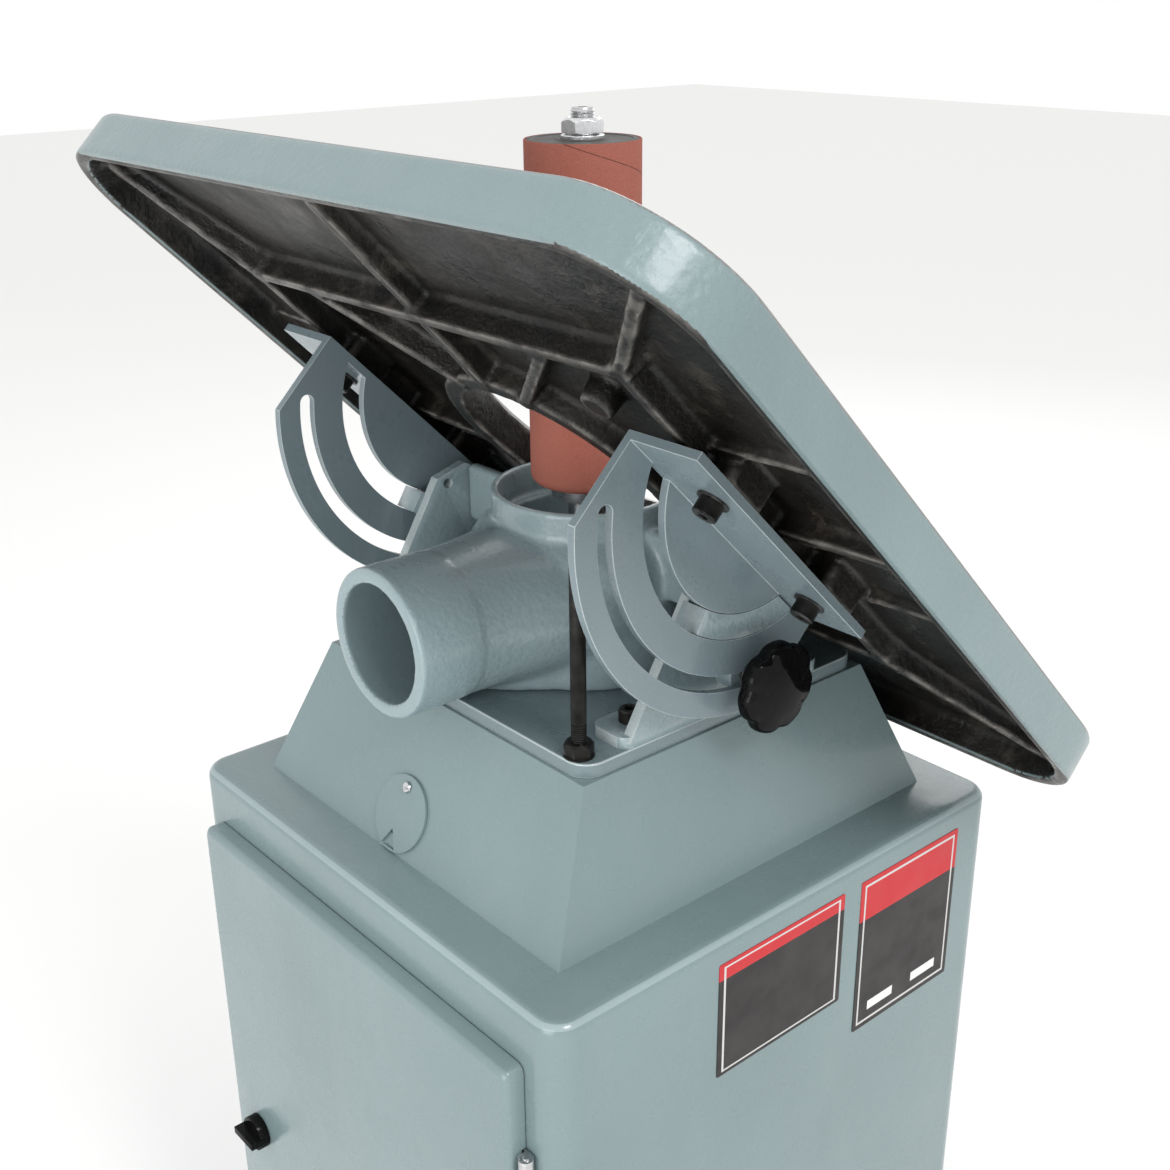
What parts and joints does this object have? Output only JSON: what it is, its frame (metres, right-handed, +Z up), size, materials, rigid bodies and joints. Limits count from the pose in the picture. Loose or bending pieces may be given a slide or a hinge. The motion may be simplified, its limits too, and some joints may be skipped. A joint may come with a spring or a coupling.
{
  "type": "oscillating spindle sander",
  "caption": "Floor-standing oscillating spindle sander with a tilting cast table on slotted trunnions, dust chute and sheet cabinet",
  "frame": {"origin": "on the floor, under the spindle axis, at the centre of the floor anchor holes", "axes": "+Z up along the spindle, +Y towards the dust port at the rear, X along the tilt axis"},
  "size_m": [0.609, 0.501, 1.1216],
  "materials": {
    "sheet_enamel": "satin enamel on sheet steel",
    "cast_enamel": "semi-gloss enamel over sand casting",
    "plate_enamel": "satin enamel on laser-cut steel plate",
    "table_iron": "ground top, enamelled skirt, black underside",
    "black_oxide": "black oxide",
    "machine_iron": "machined grey iron",
    "bright_steel": "turned steel",
    "zinc": "zinc plated",
    "pulley_alloy": "turned aluminium",
    "bronze": "cut bronze",
    "motor_paint": "black enamel",
    "drum_rubber": "moulded rubber",
    "belt_rubber": "ribbed rubber",
    "abrasive": "aluminium oxide grit on cloth",
    "knob_plastic": "glossy phenolic",
    "switch_plastic": "textured plastic",
    "button_green": "moulded",
    "button_red": "moulded",
    "plate_print": "printed foil with a red band, no wording"
  },
  "bodies": {
    "root": {"cabinet_shell": "sheet_enamel", "hood_shell": "sheet_enamel", "base_plate": "cast_enamel", "chute_housing": "cast_enamel", "trunnion_base_left": "cast_enamel", "trunnion_base_right": "cast_enamel", "trunnion_base_screws": "black_oxide", "stop_bolt": "black_oxide", "stop_nut": "black_oxide", "lock_studs": "black_oxide", "lock_washers": "black_oxide", "spindle_guide": "machine_iron", "guide_screws": "black_oxide", "gearbox_housing": "machine_iron", "gearbox_cover": "machine_iron", "gearbox_bracket": "machine_iron", "drive_bearings": "bright_steel", "motor_frame": "motor_paint", "motor_top_bell": "motor_paint", "motor_low_bell": "motor_paint", "motor_stator": "bright_steel", "motor_plate": "machine_iron", "motor_bolts": "sheet_enamel", "drive_belt": "belt_rubber", "cabinet_hinges": "bright_steel", "hood_cover_screw": "zinc", "switch_box": "switch_plastic", "cord_gland": "switch_plastic", "data_plate": "plate_print", "notice_plate": "plate_print"},
    "door": {"access_door": "sheet_enamel", "door_hinge_leaves": "bright_steel"},
    "latch": {"door_latch": "knob_plastic"},
    "cover": {"hood_cover": "sheet_enamel"},
    "start": {"start_button": "button_green"},
    "stop": {"stop_button": "button_red"},
    "table": {"table_casting": "table_iron", "trunnion_plate_left": "plate_enamel", "trunnion_plate_right": "plate_enamel", "trunnion_screws": "black_oxide", "trunnion_washers": "black_oxide"},
    "knob_left": {"lock_knob_left": "knob_plastic"},
    "knob_right": {"lock_knob_right": "knob_plastic"},
    "quill": {"quill_tube": "bright_steel", "quill_bearings": "bright_steel", "quill_yoke": "bright_steel"},
    "spindle": {"spindle_shaft": "bright_steel", "drum_core": "drum_rubber", "sanding_sleeve": "abrasive", "top_washer": "drum_rubber", "spindle_nut": "zinc"},
    "drive": {"drive_sleeve": "bright_steel", "drive_worm": "bright_steel", "spindle_pulley": "pulley_alloy"},
    "crank": {"worm_wheel": "bronze", "crank_shaft": "bright_steel"},
    "rod": {"connecting_rod": "bright_steel"},
    "rotor": {"motor_rotor": "bright_steel", "motor_pulley": "pulley_alloy"}
  },
  "joints": [
    {"name": "table_tilt", "type": "hinge", "parent": "root", "child": "table", "pos_m": [0, 0, 0.9065], "axis": [1, 0, 0], "range_deg": [-45, 0]},
    {"name": "lock_left_turn", "type": "hinge", "parent": "root", "child": "knob_left", "pos_m": [0.17, 0, 0.78075], "axis": [1, 0, 0], "range_deg": [0, 180]},
    {"name": "lock_right_turn", "type": "hinge", "parent": "root", "child": "knob_right", "pos_m": [-0.17, 0, 0.78075], "axis": [-1, 0, 0], "range_deg": [0, 180]},
    {"name": "quill_slide", "type": "slide", "parent": "root", "child": "quill", "axis": [0, 0, 1], "range_m": [-0.0127, 0.0127]},
    {"name": "spindle_spin", "type": "hinge", "parent": "quill", "child": "spindle", "pos_m": [0, 0, 0.9], "axis": [0, 0, 1], "continuous": true},
    {"name": "motor_spin", "type": "hinge", "parent": "root", "child": "rotor", "pos_m": [0, -0.128, 0.25], "axis": [0, 0, 1], "continuous": true},
    {"name": "drive_spin", "type": "hinge", "parent": "root", "child": "drive", "pos_m": [0, 0, 0.5], "axis": [0, 0, 1], "continuous": true},
    {"name": "crank_spin", "type": "hinge", "parent": "root", "child": "crank", "pos_m": [0.051, 0, 0.503], "axis": [0, 1, 0], "continuous": true},
    {"name": "rod_swing", "type": "hinge", "parent": "crank", "child": "rod", "pos_m": [0.0383, 0.0585, 0.503], "axis": [0, 1, 0], "continuous": true},
    {"name": "door_swing", "type": "hinge", "parent": "root", "child": "door", "pos_m": [-0.1925, 0.218, 0.336], "axis": [0, 0, 1], "range_deg": [0, 110]},
    {"name": "latch_turn", "type": "hinge", "parent": "door", "child": "latch", "pos_m": [0.146, 0.22, 0.336], "axis": [0, 1, 0], "range_deg": [0, 90]},
    {"name": "cover_swing", "type": "hinge", "parent": "root", "child": "cover", "pos_m": [0.01, 0.15291, 0.6829], "axis": [0, 0.9136, 0.4066], "range_deg": [-120, 120]},
    {"name": "start_press", "type": "slide", "parent": "root", "child": "start", "axis": [0, 1, 0], "range_m": [0, 0.004], "stiffness_N_per_m": 400},
    {"name": "stop_press", "type": "slide", "parent": "root", "child": "stop", "axis": [0, 1, 0], "range_m": [0, 0.004], "stiffness_N_per_m": 400}
  ],
  "couplings": [
    {"joint": "drive_spin", "follows": "motor_spin", "ratio": 1},
    {"joint": "spindle_spin", "follows": "motor_spin", "ratio": 1},
    {"joint": "crank_spin", "follows": "motor_spin", "ratio": -0.041667},
    {"joint": "rod_swing", "follows": "motor_spin", "ratio": 0.041667}
  ]
}
